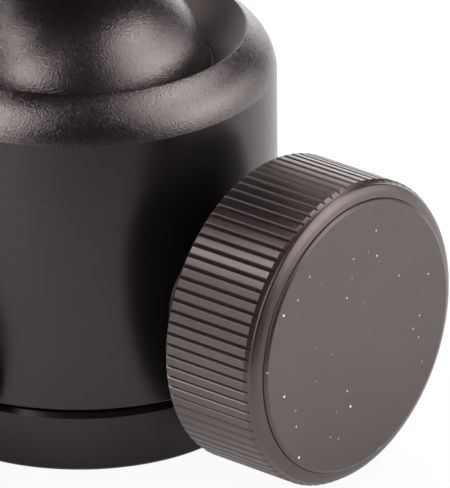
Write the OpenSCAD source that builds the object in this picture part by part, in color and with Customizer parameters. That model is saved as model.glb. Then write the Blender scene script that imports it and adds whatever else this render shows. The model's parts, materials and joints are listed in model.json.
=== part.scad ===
// Tripod ball head with a drop notch, a main lock knob, a pan lock knob and a clamp for dovetail plates.
// The origin is the centre of the base's bottom face, +Z points up, +X lies along the main lock's axis.

/* [Base] */
// Diameter of the base disc
base_d = 49.8; // [46:0.1:52]
// Height of the base disc's top face
base_h = 10.4; // [10:0.1:10.5]
// Width and height of the slope around the top of the base disc
base_slope = 2.3; // [0.5:0.1:3]
// Chamfer around the bottom of the base disc
base_chamfer = 0.4; // [0.1:0.1:1]
// Tapping diameter of the tripod thread, 7.94 for 3/8"-16
tripod_thread_d = 7.94; // [5.1:0.01:9]
// Depth of the tripod thread
tripod_thread_depth = 12; // [8:0.5:14]
// Diameter of the spindle that the head pans on
spindle_d = 24; // [20:0.5:26]

/* [Pan bearing] */
// Thickness of the thrust washers
washer_t = 0.5; // [0.3:0.1:1]
// Height of the bearing plug that closes the housing from below
plug_h = 9.2; // [8.9:0.1:9.3]
// Thickness of the retaining ring on the spindle
retainer_t = 1.8; // [1.5:0.1:2.2]
// Diameter of the retaining ring
retainer_d = 28; // [26.5:0.1:28.4]
// Diameter of the circle of the retaining screws
retainer_circle_d = 15.6; // [15:0.1:17]
// Diameter of the retaining screws
retainer_screw_d = 3; // [2:0.5:3]
// Diameter of the set screws that stop the plug from turning
plug_screw_d = 3; // [2:0.5:4]
// Radial clearance of the parts that turn or slide on each other
running_gap = 0.05; // [0.02:0.01:0.08]

/* [Housing] */
// Outer diameter of the housing
housing_d = 56; // [55:0.1:60]
// Height of the rounded shoulder's lower edge above the ball's centre
shoulder_above_centre = 2.6; // [1.5:0.1:4]
// Radius of the shoulder's arc in section
shoulder_r = 8.3; // [7.5:0.1:20]
// Height of the rim above the ball's centre
rim_above_centre = 8.9; // [8:0.1:10]
// Diameter of the rim's edge
rim_d = 47.6; // [46.5:0.1:49]
// Width of the drop notch
notch_w = 16; // [15.2:0.1:18]
// Chamfer around the housing's bottom edge
housing_chamfer = 0.3; // [0.1:0.1:0.8]

/* [Ball] */
// Diameter of the ball
ball_d = 38; // [37:0.1:38.6]
// Wall of the upper race beside the ball
race_wall = 1; // [0.8:0.1:1.4]
// Height of the upper race
race_h = 3.1; // [2:0.1:4]
// Height of the lip's underside above the ball's centre
lip_above_centre = 3.6; // [3:0.1:4]
// Wall of the bore around the lower cup, which the piston's rim fills
cup_rim_t = 1.5; // [1.3:0.1:3]
// Diameter of the hole in the lower cup
cup_hole_d = 16; // [10:0.5:20]
// How far the ball reaches down past the lower cup's underside
ball_below_cup = 1.4; // [1.2:0.1:2]
// Height of the lower cup
cup_h = 7.3; // [5:0.1:9]

/* [Stem] */
// Diameter of the neck
neck_d = 13; // [11:0.1:13.6]
// Fillet at both ends of the neck
neck_fillet = 1.3; // [0.5:0.1:1.4]
// Height of the flange's underside above the ball's centre
flange_above_centre = 30.5; // [30.5:0.1:34]
// Diameter of the flange
flange_d = 26; // [22:0.5:34]
// Thickness of the flange
flange_t = 3; // [2:0.1:4]
// Diameter of the stud that holds the stem in the ball
stud_d = 8; // [6:0.5:10]
// Length of that stud
stud_l = 12; // [8:0.5:15]

/* [Main lock] */
// Height of the main knob's axis
knob_z = 24.4; // [24.3:0.1:24.8]
// Distance from the housing's outside to the knob's back
knob_standoff = 6.46; // [4:0.01:9]
// Diameter of the knob over its ribs
knob_d = 44.6; // [40:0.1:47]
// Length of the knob
knob_l = 16.1; // [15:0.1:22]
// Number of ribs around the knob
knob_ribs = 85; // [40:1:90]
// Length of the bevel at the knob's front
knob_bevel_l = 1.65; // [0.5:0.05:2]
// Width of the bevel at the knob's front
knob_bevel_w = 1.9; // [0.5:0.05:2]
// Chamfer around the knob's back
knob_chamfer = 0.5; // [0.1:0.1:1]
// Width of the grooves between the ribs
groove_w = 0.62; // [0.3:0.01:0.75]
// Width of the grooves' floor
groove_floor = 0.16; // [0.05:0.01:0.25]
// Depth of the grooves
groove_depth = 0.45; // [0.2:0.01:0.6]
// Diameter of the knob's front disc
cap_d = 39.86; // [30:0.01:40]
// Height of the front disc over the knob's ring
cap_proud = 0.55; // [0.1:0.05:1]
// Gap around the front disc
cap_gap = 0.15; // [0.05:0.01:0.3]
// Depth of the knob's seat for the front disc
cap_seat = 2.2; // [1.5:0.1:3]
// Diameter of the boss behind the knob
boss_d = 22; // [16:0.5:24]
// Outer diameter of the threaded bush in the boss
bush_d = 14; // [11:0.5:15]
// Diameter of the lock screw
lock_screw_d = 8; // [6:0.5:8]
// Diameter of the lock screw's blunt tip
lock_tip_d = 2.4; // [1:0.1:3]
// Length of the lock screw's cone
lock_cone_l = 5.6; // [4:0.1:7]
// Length of the lock screw inside the knob
lock_screw_grip = 10.5; // [8:0.1:11]
// Diameter of the screw that fixes the knob
knob_screw_d = 4; // [3:0.5:5]
// Room over the lock screw for the piston's travel
piston_room = 0.6; // [0.45:0.05:0.8]
// Thickness of the piston between the lock screw and the lower cup
piston_floor_t = 2.8; // [2.5:0.1:3.5]
// Gap under the piston at rest
piston_gap = 0.55; // [0.5:0.05:0.8]
// Wire of the piston's springs
piston_spring_wire = 0.5; // [0.3:0.05:0.6]
// Height of the piston's springs
piston_spring_l = 6; // [4:0.5:8]

/* [Pan lock] */
// Height of the pan knob's axis
pan_z = 14.4; // [14.3:0.1:14.5]
// Diameter of the pan knob over its ribs
pan_knob_d = 17; // [14:0.1:20]
// Length of the pan knob
pan_knob_l = 11; // [9:0.1:16]
// Number of ribs around the pan knob
pan_knob_ribs = 32; // [20:1:34]
// Diameter of the pan screw and the brake pad
pan_screw_d = 5; // [4:0.5:5]
// Distance from the brake pad's outer end to the bearing plug's outside
brake_pad_sink = 2.45; // [1.5:0.05:3.5]
// Diameter of the boss behind the pan knob
pan_boss_d = 6.8; // [6.6:0.1:6.8]
// Height of that boss over the housing
pan_boss_h = 0.5; // [0.3:0.1:2]

/* [Clamp] */
// Length of the clamp along its channel
clamp_l = 50; // [44:1:52]
// Thickness of the clamp under its channel
clamp_floor_t = 8; // [7.5:0.1:10]
// Width of the dovetail plate that the clamp holds
plate_w = 38.2; // [38:0.1:39]
// Depth of the channel
channel_h = 5; // [4.6:0.1:6]
// Reach of the dovetail over the plate, at 45 degrees
dovetail = 3.2; // [2:0.1:3.4]
// Wall of the jaws beside the plate
jaw_wall = 9; // [8.8:0.1:11]
// Gap between the clamp's body and the sliding jaw at rest
jaw_gap = 0.7; // [0.6:0.1:1]
// Corner radius of the clamp in plan
clamp_corner_r = 3; // [1:0.5:5]
// Chamfer along the clamp's outer edges
clamp_chamfer = 1; // [0.3:0.1:1.5]
// Diameter of the clamp's screw
clamp_screw_d = 6; // [4:0.5:6]
// Length of the clamp's screw inside the body
clamp_screw_reach = 10; // [8:0.5:11]
// Diameter of the clamp's knob over its ribs
clamp_knob_d = 18; // [14:0.1:18]
// Length of the clamp's knob
clamp_knob_l = 13; // [10:0.1:18]
// Number of ribs around the clamp's knob
clamp_knob_ribs = 34; // [20:1:36]
// Distance between the guide pins
guide_spacing = 32; // [24:1:36]
// Diameter of the guide pins
guide_pin_d = 3; // [2:0.5:3]
// Length of the guide pins in the clamp's body
guide_pin_reach = 12; // [9:0.5:14]
// Wire of the clamp's springs
spring_wire = 0.5; // [0.3:0.05:0.6]
// Depth of the springs' pockets
spring_pocket = 8; // [6:0.5:9]
// Diameter of the bolt that holds the clamp on the stem
clamp_bolt_d = 6; // [5:0.5:6]
// Length of that bolt
clamp_bolt_l = 15; // [11:0.5:16]

/* [Level] */
// Diameter of the bubble level
level_d = 7.6; // [6:0.1:7.8]
// Depth of the level's recess
level_depth = 3.6; // [3:0.1:4]
// Place of the level along the clamp, from its middle
level_x = 17; // [10:0.5:18]

/* [Hidden] */
$fn = 96;

black_anodised = [0.13, 0.125, 0.125];
knob_grey = [0.30, 0.285, 0.28];
steel = [0.62, 0.62, 0.62];
brass = [0.72, 0.58, 0.30];
white_plastic = [0.90, 0.89, 0.86];
black_plastic = [0.08, 0.08, 0.08];
level_green = [0.72, 0.85, 0.20];

eps = 0.01;
press_gap = 0.02;                                  // between parts that are pressed or screwed together
cut = 1;                                           // how far a cutter reaches past the face it opens

// Radii and heights of the fixed stack
housing_r = housing_d / 2;
ball_r = ball_d / 2;
bore_r = ball_r + race_wall;
spindle_r = spindle_d / 2;
housing_z = base_h + washer_t;
plug_top = housing_z + plug_h;
retainer_sink = 0.1;                               // from the plug's top down to the retaining ring
counterbore_z = plug_top - retainer_sink - retainer_t - washer_t;
spindle_top = counterbore_z + washer_t;
counterbore_r = retainer_d / 2 + 0.4;
notch_angle = 180;                                 // opposite the main knob
washer_inner_r = spindle_r + 0.3;
retainer_hole_r = 4;
retainer_screw_l = 6;
plug_screw_l = 8.5;
plug_screw_z = housing_z + plug_h / 2;
plug_screw_tip_r = ball_r + race_wall - 1.5;       // the set screws reach this far into the plug
plug_screw_angles = [notch_angle - 35, notch_angle + 35];

// Seat of the ball, which lies over the lock screw
cup_z = knob_z + lock_screw_d / 2 + piston_floor_t;
ball_z = cup_z - ball_below_cup + ball_r;
cup_d = 2 * (bore_r - cup_rim_t);
shoulder_z = ball_z + shoulder_above_centre;
rim_z = ball_z + rim_above_centre;
lip_z = ball_z + lip_above_centre;
lip_clearance = 0.4;
lip_r = sqrt(ball_r * ball_r - lip_above_centre * lip_above_centre) + lip_clearance;
lip_t = 0.7;
notch_r = notch_w / 2;
race_notch_r = notch_r + 0.6;
seat_r = neck_d / 2 + neck_fillet;
seat_z = ball_z + sqrt(ball_r * ball_r - seat_r * seat_r);
flange_z = ball_z + flange_above_centre;
flange_chamfer = 0.5;
clamp_z = flange_z + flange_t;

// Main lock, along +X
knob_x = housing_r + knob_standoff;
boss_x = knob_x - washer_t;
lock_r = lock_screw_d / 2;
lock_tip_r = lock_tip_d / 2;
lock_tip_x = 1;
cone_gap = 0.08;                                   // between the lock screw's cone and the piston at rest
bush_inner_x = bore_r + 0.5;
piston_r = bore_r - 0.1;
piston_z = plug_top + piston_gap;
piston_lip_h = 4.8;
piston_spring_r = 1.6;
piston_spring_circle_r = piston_r - piston_spring_r - 1.5;
piston_spring_angles = [60, 180, 300];
knob_screw_head_d = 2 * knob_screw_d;
knob_screw_l = 10;

// Pan lock, along -Y
pan_boss_y = housing_r + pan_boss_h;
pan_knob_y = pan_boss_y + washer_t;
pan_r = pan_screw_d / 2;
brake_y = spindle_r + running_gap;
brake_end_y = bore_r - brake_pad_sink;
small_cap_wall = 1.6;                              // ring around the front disc of the small knobs
small_bevel = 0.8;
small_cap_seat = 1.5;
small_cap_proud = 0.3;
small_grip = 6;                                    // length of the small knobs' screws inside them

// Clamp
half_plate = plate_w / 2;
channel_z = clamp_z + clamp_floor_t;
clamp_top = channel_z + channel_h;
body_end_y = half_plate - jaw_gap;
jaw_outer_y = half_plate + jaw_wall;
clamp_axis_z = clamp_z + clamp_floor_t / 2;
dovetail_z = clamp_top - 0.4;                      // top of the 45 degree flank
guide_r = guide_pin_d / 2;
guide_end_wall = 0.8;                              // of the jaw outside the guide pins' holes
guide_end_room = 0.8;                              // for the jaw to close further than at rest
spring_r = guide_r + 0.3 + spring_wire / 2;
spring_pocket_r = spring_r + spring_wire / 2 + 0.15;
clamp_knob_y = jaw_outer_y + washer_t;
level_y = jaw_outer_y - clamp_chamfer - level_d / 2 - 0.1;
level_r = level_d / 2;
level_wall = 0.6;
level_z = clamp_top - level_depth;
bubble_r = 1.1;
bolt_sink = 0.2;                                   // of the clamp bolt's head under the channel's floor
bolt_head_d = 2 * clamp_bolt_d - 1;
countersink_h = (bolt_head_d - clamp_bolt_d) / 2;
pin_r = 1;
pin_l = 3;
pin_x = flange_d / 2 - 4;

// Places that turned parts and cutters are made at: children are drawn along +Z
module along_x(z) translate([0, 0, z]) rotate([0, 90, 0]) children();
module along_minus_y(z) translate([0, 0, z]) rotate([90, 0, 0]) children();

module ring(outer_r, inner_r, h) {
    difference() {
        cylinder(r = outer_r, h = h);
        translate([0, 0, -cut]) cylinder(r = inner_r, h = h + 2 * cut);
    }
}

// A countersunk screw with its head's top at z = 0 and its shank downwards
module countersunk_screw(d, head_d, l, socket_w) {
    head_h = (head_d - d) / 2;
    difference() {
        union() {
            translate([0, 0, -l]) cylinder(d = d, h = l - head_h + eps);
            translate([0, 0, -head_h]) cylinder(d1 = d, d2 = head_d, h = head_h);
        }
        translate([0, 0, -head_h]) cylinder(d = socket_w, h = head_h + cut, $fn = 6);
    }
}

function rib_points(r, count, width, floor_w, depth) = [
    for (i = [0 : count - 1])
        for (p = [
            [r, -asin(width / 2 / r)],
            [r - depth, -asin(floor_w / 2 / (r - depth))],
            [r - depth, asin(floor_w / 2 / (r - depth))],
            [r, asin(width / 2 / r)]
        ])
            p[0] * [cos(360 * i / count + p[1]), sin(360 * i / count + p[1])]
];

// The ribbed outside of a knob from z = 0 at its back: the bevels cut the ribs off at both ends
module ribbed_barrel(r, l, count, bevel_l, bevel_w, chamfer) {
    over = 1;
    intersection() {
        linear_extrude(l)
            polygon(rib_points(r, count, groove_w, groove_floor, groove_depth));
        rotate_extrude()
            polygon([
                [0, 0], [r - chamfer, 0], [r + over, chamfer + over],
                [r + over, l - bevel_l - over * bevel_l / bevel_w], [r - bevel_w, l], [0, l]
            ]);
    }
}

// A knob with a seat for its front disc and a bore for its screw
module knob_shape(r, l, count, bevel_l, bevel_w, chamfer, seat_r, seat_depth, screw_r, screw_l, fixing_d) {
    difference() {
        ribbed_barrel(r, l, count, bevel_l, bevel_w, chamfer);
        translate([0, 0, l - seat_depth]) cylinder(r = seat_r, h = seat_depth + cut);
        translate([0, 0, -cut]) cylinder(r = screw_r, h = screw_l + cut);
        if (fixing_d > 0) {
            cylinder(r = fixing_d / 2 + press_gap, h = l);
            translate([0, 0, l - seat_depth - fixing_d / 2])
                cylinder(r1 = fixing_d / 2 + press_gap, r2 = fixing_d + press_gap, h = fixing_d / 2 + eps);
        }
    }
}

// A knob's front disc with a small chamfer, from z = 0 at its back
module disc_shape(r, h) {
    edge = 0.25;
    cylinder(r = r, h = h - edge);
    translate([0, 0, h - edge - eps]) cylinder(r1 = r, r2 = r - edge, h = edge + eps);
}

// A coil spring of round wire that stands on z = 0
module coil_spring(r, wire, turns, l) {
    sides = 6;
    steps = 14 * turns;
    points = [
        for (i = [0 : steps])
            let (a = 360 * turns * i / steps, z = wire / 2 + (l - wire) * i / steps)
                for (k = [0 : sides - 1])
                    let (b = 360 * k / sides, out = r + wire / 2 * cos(b))
                        [out * cos(a), out * sin(a), z + wire / 2 * sin(b)]
    ];
    faces = concat(
        [[for (k = [0 : sides - 1]) k]],
        [
            for (i = [0 : steps - 1])
                for (k = [0 : sides - 1])
                    let (n = (k + 1) % sides)
                        [i * sides + k, (i + 1) * sides + k, (i + 1) * sides + n, i * sides + n]
        ],
        [[for (k = [sides - 1 : -1 : 0]) steps * sides + k]]
    );
    polyhedron(points, faces);
}

// The U-shaped way for the neck through the wall, out along -X from the head's middle
module notch_cutter(r) {
    rotate([0, 0, notch_angle]) {
        along_x(ball_z) cylinder(r = r, h = housing_r + cut);
        translate([0, -r, ball_z]) cube([housing_r + cut, 2 * r, rim_z - ball_z + cut]);
    }
}

// ---- Base ----

module base_plate() color(black_anodised)
    difference() {
        rotate_extrude()
            polygon([
                [0, 0], [base_d / 2 - base_chamfer, 0], [base_d / 2, base_chamfer],
                [base_d / 2, base_h - base_slope], [base_d / 2 - base_slope, base_h],
                [spindle_r, base_h], [spindle_r, spindle_top], [0, spindle_top]
            ]);
        translate([0, 0, -cut]) cylinder(d = tripod_thread_d, h = tripod_thread_depth + cut);
        retaining_screw_places() translate([0, 0, -retainer_screw_l - 0.5])
            cylinder(r = retainer_screw_d / 2 + press_gap, h = retainer_screw_l + 0.5);
    }

module retaining_screw_places()
    for (a = [30, 150, 270])
        rotate([0, 0, a]) translate([retainer_circle_d / 2, 0, spindle_top + retainer_t]) children();

module lower_thrust_washer() color(black_plastic)
    translate([0, 0, base_h]) ring(base_d / 2 - base_slope - 1, washer_inner_r, washer_t);

module upper_thrust_washer() color(white_plastic)
    translate([0, 0, counterbore_z]) ring(retainer_d / 2, washer_inner_r, washer_t);

module retaining_ring() color(steel)
    translate([0, 0, spindle_top])
        difference() {
            ring(retainer_d / 2, retainer_hole_r, retainer_t);
            translate([0, 0, -spindle_top])
                retaining_screw_places() {
                    translate([0, 0, -retainer_t - cut])
                        cylinder(r = retainer_screw_d / 2 + press_gap, h = retainer_t + 2 * cut);
                    translate([0, 0, -retainer_screw_d / 2])
                        cylinder(r1 = retainer_screw_d / 2 + press_gap, r2 = retainer_screw_d + press_gap,
                                 h = retainer_screw_d / 2 + eps);
                }
        }

module retaining_screws() color(steel)
    retaining_screw_places()
        countersunk_screw(retainer_screw_d, 2 * retainer_screw_d - 0.1, retainer_screw_l, 2);

// ---- Housing ----

// The outline in section. The shoulder's arc is centred so that it passes through both of its ends.
module housing_section() {
    dx = housing_r - rim_d / 2;
    dz = rim_z - shoulder_z;
    half_chord = sqrt(dx * dx + dz * dz) / 2;
    back_off = sqrt(shoulder_r * shoulder_r - half_chord * half_chord);
    middle = [housing_r - dx / 2, shoulder_z + dz / 2];
    centre = middle - back_off * [dz, dx] / (2 * half_chord);
    polygon([
        [bore_r, housing_z], [housing_r - housing_chamfer, housing_z],
        [housing_r, housing_z + housing_chamfer], [housing_r, shoulder_z],
        [rim_d / 2, rim_z], [lip_r, lip_z + lip_t], [lip_r, lip_z], [bore_r, lip_z]
    ]);
    intersection() {
        translate(centre) circle(r = shoulder_r);
        polygon([
            [housing_r, shoulder_z], [housing_r + dz, shoulder_z + dx],
            [rim_d / 2 + dz, rim_z + dx], [rim_d / 2, rim_z]
        ]);
    }
}

module housing() color(black_anodised)
    difference() {
        union() {
            rotate_extrude() housing_section();
            along_x(knob_z) translate([0, 0, bore_r + 3]) cylinder(d = boss_d, h = boss_x - bore_r - 3);
            along_minus_y(pan_z) translate([0, 0, bore_r + 3])
                cylinder(d = pan_boss_d, h = pan_boss_y - bore_r - 3);
        }
        notch_cutter(notch_r);
        along_x(knob_z) cylinder(r = bush_d / 2 + press_gap, h = boss_x + cut);
        along_minus_y(pan_z) cylinder(r = pan_r + running_gap, h = pan_boss_y + cut);
        plug_screw_places() cylinder(r = plug_screw_d / 2 + press_gap, h = housing_r + cut);
    }

module plug_screw_places()
    for (a = plug_screw_angles)
        rotate([0, 0, a]) along_x(plug_screw_z) children();

module bearing_plug() color(steel)
    difference() {
        translate([0, 0, housing_z]) ring(bore_r - press_gap, spindle_r + running_gap, plug_h);
        translate([0, 0, counterbore_z]) cylinder(r = counterbore_r, h = plug_h);
        along_minus_y(pan_z) cylinder(r = pan_r + running_gap, h = housing_r);
        plug_screw_places() translate([0, 0, plug_screw_tip_r])
            cylinder(r = plug_screw_d / 2 + press_gap, h = housing_r);
    }

module plug_set_screws() color(steel)
    plug_screw_places() translate([0, 0, plug_screw_tip_r])
        difference() {
            cylinder(d = plug_screw_d, h = plug_screw_l);
            translate([0, 0, plug_screw_l - 1.5]) cylinder(d = plug_screw_d / 2, h = 1.5 + cut, $fn = 6);
        }

module lock_bush() color(brass)
    along_x(knob_z) translate([0, 0, bush_inner_x])
        ring(bush_d / 2, lock_r + running_gap, boss_x - bush_inner_x);

module upper_race() color(black_plastic)
    difference() {
        translate([0, 0, lip_z - race_h]) ring(bore_r - press_gap, ball_r - 2, race_h);
        translate([0, 0, ball_z]) sphere(r = ball_r + running_gap);
        notch_cutter(race_notch_r);
    }

module piston_spring_places()
    for (a = piston_spring_angles)
        rotate([0, 0, a]) translate([piston_spring_circle_r, 0, 0]) children();

module piston_springs() color(steel)
    piston_spring_places() translate([0, 0, plug_top])
        coil_spring(piston_spring_r - piston_spring_wire / 2, piston_spring_wire, 5, piston_spring_l);

// ---- Piston ----

module pressure_piston() color(steel)
    difference() {
        translate([0, 0, piston_z]) cylinder(r = piston_r, h = cup_z + piston_lip_h - piston_z);
        translate([0, 0, cup_z]) cylinder(r = cup_d / 2 + running_gap, h = cup_h + cut);
        translate([0, 0, ball_z]) sphere(r = ball_r + 0.4);
        along_x(knob_z) {
            translate([0, 0, lock_tip_x + lock_cone_l]) cylinder(r = lock_r + piston_room, h = housing_r);
            translate([0, 0, lock_tip_x - 0.1])
                cylinder(r1 = lock_tip_r + cone_gap, r2 = lock_r + cone_gap, h = lock_cone_l + 0.1 + eps);
        }
        piston_spring_places() translate([0, 0, piston_z - cut])
            cylinder(r = piston_spring_r + 0.3, h = plug_top + piston_spring_l - piston_z + cut);
    }

// ---- Main lock ----

module lock_washer() color(black_plastic)
    along_x(knob_z) translate([0, 0, boss_x]) ring(boss_d / 2 - 0.5, lock_r + 0.3, washer_t);

module main_knob() color(knob_grey)
    along_x(knob_z) translate([0, 0, knob_x])
        knob_shape(knob_d / 2, knob_l, knob_ribs, knob_bevel_l, knob_bevel_w, knob_chamfer,
                   cap_d / 2 + cap_gap, cap_seat, lock_r + press_gap, lock_screw_grip, knob_screw_d);

module knob_front_disc() color(knob_grey)
    along_x(knob_z) translate([0, 0, knob_x + knob_l - cap_seat])
        disc_shape(cap_d / 2, cap_seat + cap_proud);

module knob_fixing_screw() color(steel)
    along_x(knob_z) translate([0, 0, knob_x + knob_l - cap_seat])
        countersunk_screw(knob_screw_d, knob_screw_head_d, knob_screw_l, 2.5);

module lock_screw() color(steel)
    along_x(knob_z)
        difference() {
            union() {
                translate([0, 0, lock_tip_x]) cylinder(r1 = lock_tip_r, r2 = lock_r, h = lock_cone_l + eps);
                translate([0, 0, lock_tip_x + lock_cone_l])
                    cylinder(r = lock_r, h = knob_x + lock_screw_grip - lock_tip_x - lock_cone_l);
            }
            translate([0, 0, knob_x + knob_l - cap_seat - knob_screw_l - 0.5])
                cylinder(r = knob_screw_d / 2 + press_gap, h = knob_screw_l);
        }

// ---- Pan lock ----

module small_knob_shape(d, l, count, screw_d)
    knob_shape(d / 2, l, count, small_bevel, small_bevel, knob_chamfer,
               d / 2 - small_cap_wall + cap_gap, small_cap_seat, screw_d / 2 + press_gap, small_grip, 0);

module small_disc_shape(d) disc_shape(d / 2 - small_cap_wall, small_cap_seat + small_cap_proud);

module pan_washer() color(black_plastic)
    along_minus_y(pan_z) translate([0, 0, pan_boss_y]) ring(pan_boss_d / 2, pan_r + 0.2, washer_t);

module pan_knob() color(knob_grey)
    along_minus_y(pan_z) translate([0, 0, pan_knob_y])
        small_knob_shape(pan_knob_d, pan_knob_l, pan_knob_ribs, pan_screw_d);

module pan_knob_disc() color(knob_grey)
    along_minus_y(pan_z) translate([0, 0, pan_knob_y + pan_knob_l - small_cap_seat])
        small_disc_shape(pan_knob_d);

module pan_screw() color(steel)
    along_minus_y(pan_z) translate([0, 0, brake_end_y])
        cylinder(r = pan_r, h = pan_knob_y + small_grip - brake_end_y);

module brake_pad() color(brass)
    difference() {
        along_minus_y(pan_z) translate([0, 0, spindle_r - pan_r])
            cylinder(r = pan_r, h = brake_end_y - spindle_r + pan_r);
        cylinder(r = brake_y, h = plug_top);
    }

// ---- Ball and stem ----

module lower_cup() color(white_plastic)
    difference() {
        translate([0, 0, cup_z]) ring(cup_d / 2, cup_hole_d / 2, cup_h);
        translate([0, 0, ball_z]) sphere(r = ball_r + running_gap);
    }

module ball() color(black_anodised)
    difference() {
        translate([0, 0, ball_z]) sphere(r = ball_r);
        translate([0, 0, seat_z]) cylinder(r = ball_r, h = ball_r);
        translate([0, 0, seat_z - stud_l - 0.5]) cylinder(r = stud_d / 2 + running_gap, h = stud_l + cut);
    }

// The concave fillet between a shaft and the face that it stands on, as a section
module fillet_section(shaft_r, r) {
    difference() {
        translate([shaft_r - eps, 0]) square([r + eps, r]);
        translate([shaft_r + r, r]) circle(r = r);
    }
}

module stem() color(black_anodised)
    difference() {
        union() {
            translate([0, 0, seat_z - stud_l]) cylinder(d = stud_d, h = stud_l + eps);
            translate([0, 0, seat_z]) rotate_extrude() {
                square([neck_d / 2, flange_z - seat_z]);
                fillet_section(neck_d / 2, neck_fillet);
                translate([0, flange_z - seat_z]) mirror([0, 1]) fillet_section(neck_d / 2, neck_fillet);
            }
            translate([0, 0, flange_z]) rotate_extrude()
                polygon([
                    [0, 0], [flange_d / 2 - flange_chamfer, 0], [flange_d / 2, flange_chamfer],
                    [flange_d / 2, flange_t], [0, flange_t]
                ]);
        }
        translate([0, 0, channel_z - bolt_sink - clamp_bolt_l - 0.5])
            cylinder(r = clamp_bolt_d / 2 + press_gap, h = clamp_bolt_l + 0.5);
        translate([pin_x, 0, clamp_z - pin_l / 2]) cylinder(r = pin_r + press_gap, h = pin_l / 2 + cut);
    }

module clamp_bolt() color(steel)
    translate([0, 0, channel_z - bolt_sink])
        countersunk_screw(clamp_bolt_d, bolt_head_d, clamp_bolt_l, clamp_bolt_d * 2 / 3);

module locating_pin() color(steel)
    translate([pin_x, 0, clamp_z - pin_l / 2]) cylinder(r = pin_r, h = pin_l);

// ---- Clamp ----

module rounded_plan(w, y0, y1, r) {
    translate([-w / 2 + r, y0]) square([w - 2 * r, y1 - y0]);
    translate([-w / 2, y0 + r]) square([w, y1 - y0 - 2 * r]);
    for (x = [-w / 2 + r, w / 2 - r], y = [y0 + r, y1 - r])
        translate([x, y]) circle(r = r);
}

// The section of a jaw on the +Y side: vertical below the plate's edge, then leaning over it at 45 degrees
module jaw_section(inner_y)
    polygon([
        [inner_y, clamp_z], [jaw_outer_y - clamp_chamfer, clamp_z], [jaw_outer_y, clamp_z + clamp_chamfer],
        [jaw_outer_y, clamp_top - clamp_chamfer], [jaw_outer_y - clamp_chamfer, clamp_top],
        [half_plate - dovetail, clamp_top], [half_plate - dovetail, dovetail_z],
        [half_plate, dovetail_z - dovetail], [half_plate, channel_z], [inner_y, channel_z]
    ]);

module extruded_along_x(l) translate([-l / 2, 0, 0]) rotate([90, 0, 90]) linear_extrude(l) children();

module guide_places() for (x = [-guide_spacing / 2, guide_spacing / 2]) translate([x, 0, 0]) children();

module clamp_body() color(black_anodised)
    difference() {
        intersection() {
            extruded_along_x(clamp_l) jaw_section(-body_end_y);
            translate([0, 0, clamp_z - cut]) linear_extrude(clamp_top - clamp_z + 2 * cut)
                rounded_plan(clamp_l, -body_end_y - clamp_corner_r, jaw_outer_y, clamp_corner_r);
        }
        translate([0, 0, channel_z - bolt_sink - countersink_h])
            cylinder(r1 = clamp_bolt_d / 2 + press_gap, r2 = bolt_head_d / 2 + press_gap, h = countersink_h);
        translate([0, 0, channel_z - bolt_sink]) cylinder(r = bolt_head_d / 2 + press_gap, h = cut);
        translate([0, 0, clamp_z - cut]) cylinder(r = clamp_bolt_d / 2 + press_gap, h = clamp_floor_t + cut);
        translate([pin_x, 0, clamp_z - cut]) cylinder(r = pin_r + press_gap, h = pin_l / 2 + 0.1 + cut);
        along_minus_y(clamp_axis_z) translate([0, 0, body_end_y - clamp_screw_reach - 0.8])
            cylinder(r = clamp_screw_d / 2 + running_gap, h = clamp_screw_reach + 0.8 + cut);
        guide_places() along_minus_y(clamp_axis_z) {
            translate([0, 0, body_end_y - guide_pin_reach - 0.2])
                cylinder(r = guide_r + press_gap, h = guide_pin_reach + 0.2 + cut);
            translate([0, 0, body_end_y - spring_pocket])
                cylinder(r = spring_pocket_r, h = spring_pocket + cut);
        }
        translate([level_x, level_y, level_z]) cylinder(r = level_r + press_gap, h = level_depth + cut);
    }

module guide_pins() color(steel)
    guide_places() along_minus_y(clamp_axis_z) translate([0, 0, body_end_y - guide_pin_reach])
        cylinder(r = guide_r, h = guide_pin_reach + jaw_gap + jaw_wall - guide_end_wall - guide_end_room);

module jaw_springs() color(steel)
    guide_places() along_minus_y(clamp_axis_z) translate([0, 0, body_end_y - spring_pocket])
        coil_spring(spring_r, spring_wire, 5, spring_pocket + jaw_gap);

module clamp_jaw() color(black_anodised)
    difference() {
        intersection() {
            mirror([0, 1, 0]) extruded_along_x(clamp_l) jaw_section(half_plate);
            translate([0, 0, clamp_z - cut]) linear_extrude(clamp_top - clamp_z + 2 * cut)
                rounded_plan(clamp_l, -jaw_outer_y, jaw_outer_y, clamp_corner_r);
        }
        along_minus_y(clamp_axis_z) cylinder(r = clamp_screw_d / 2 + running_gap, h = jaw_outer_y + cut);
        guide_places() along_minus_y(clamp_axis_z)
            cylinder(r = guide_r + running_gap, h = jaw_outer_y - guide_end_wall);
    }

module clamp_washer() color(steel)
    along_minus_y(clamp_axis_z) translate([0, 0, jaw_outer_y])
        ring(clamp_screw_d / 2 + 2.5, clamp_screw_d / 2 + 0.2, washer_t);

module clamp_knob() color(knob_grey)
    along_minus_y(clamp_axis_z) translate([0, 0, clamp_knob_y])
        small_knob_shape(clamp_knob_d, clamp_knob_l, clamp_knob_ribs, clamp_screw_d);

module clamp_knob_disc() color(knob_grey)
    along_minus_y(clamp_axis_z) translate([0, 0, clamp_knob_y + clamp_knob_l - small_cap_seat])
        small_disc_shape(clamp_knob_d);

module clamp_screw() color(steel)
    along_minus_y(clamp_axis_z) translate([0, 0, body_end_y - clamp_screw_reach])
        cylinder(d = clamp_screw_d, h = clamp_screw_reach + jaw_gap + jaw_wall + washer_t + small_grip);

// ---- Level ----

module level_vial() color([0.8, 0.9, 0.85, 0.4])
    translate([level_x, level_y, level_z])
        difference() {
            cylinder(r = level_r, h = level_depth);
            translate([0, 0, -cut]) cylinder(r = level_r - level_wall, h = level_depth - level_wall + cut);
        }

module level_fluid() color(level_green)
    translate([level_x, level_y, level_z])
        difference() {
            cylinder(r = level_r - level_wall, h = level_depth - level_wall);
            translate([0, 0, level_depth - level_wall]) sphere(r = bubble_r);
        }

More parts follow.
